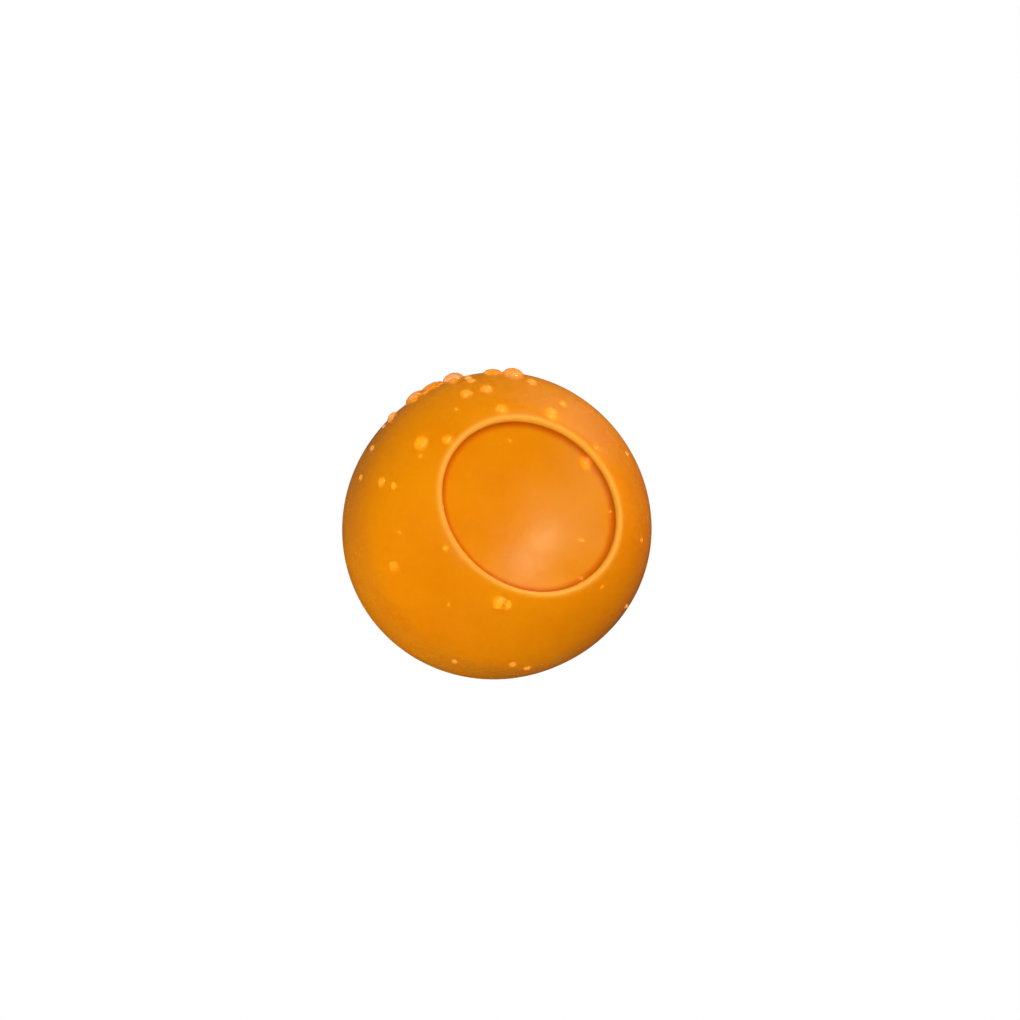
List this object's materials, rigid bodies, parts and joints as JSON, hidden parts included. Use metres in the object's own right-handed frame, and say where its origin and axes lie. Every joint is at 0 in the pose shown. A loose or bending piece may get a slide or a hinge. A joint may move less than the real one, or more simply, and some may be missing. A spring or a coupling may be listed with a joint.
{
  "type": "silicone cupping cup",
  "caption": "Soft hollow dome-shaped suction cup with a thick sealing rim and a shallow, slightly oval thumb dish that is pressed in on its closed end.",
  "frame": {"origin": "centre of the mouth's flat sealing face, on the cup's axis", "axes": "+Z along the cup's axis, from the mouth up to the thumb dish; +X along the dish's long axis. The body is round about Z, and only its top is slightly oval"},
  "size_m": [0.07, 0.07, 0.0529],
  "materials": {
    "silicone": "orange silicone, satin"
  },
  "bodies": {
    "base": {"mouth_rim": "silicone", "side_wall": "silicone"},
    "crown": {"crown_shell": "silicone", "dish_lip": "silicone", "flex_ring": "silicone"},
    "dish": {"press_dish": "silicone"}
  },
  "joints": [
    {"name": "crown_press", "type": "slide", "parent": "base", "child": "crown", "axis": [0, 0, 1], "range_m": [-0.012, 0], "stiffness_N_per_m": 2000, "deforming": ["side_wall"]},
    {"name": "dish_press", "type": "slide", "parent": "crown", "child": "dish", "axis": [0, 0, 1], "range_m": [-0.008, 0], "stiffness_N_per_m": 1200, "deforming": ["flex_ring"]}
  ]
}
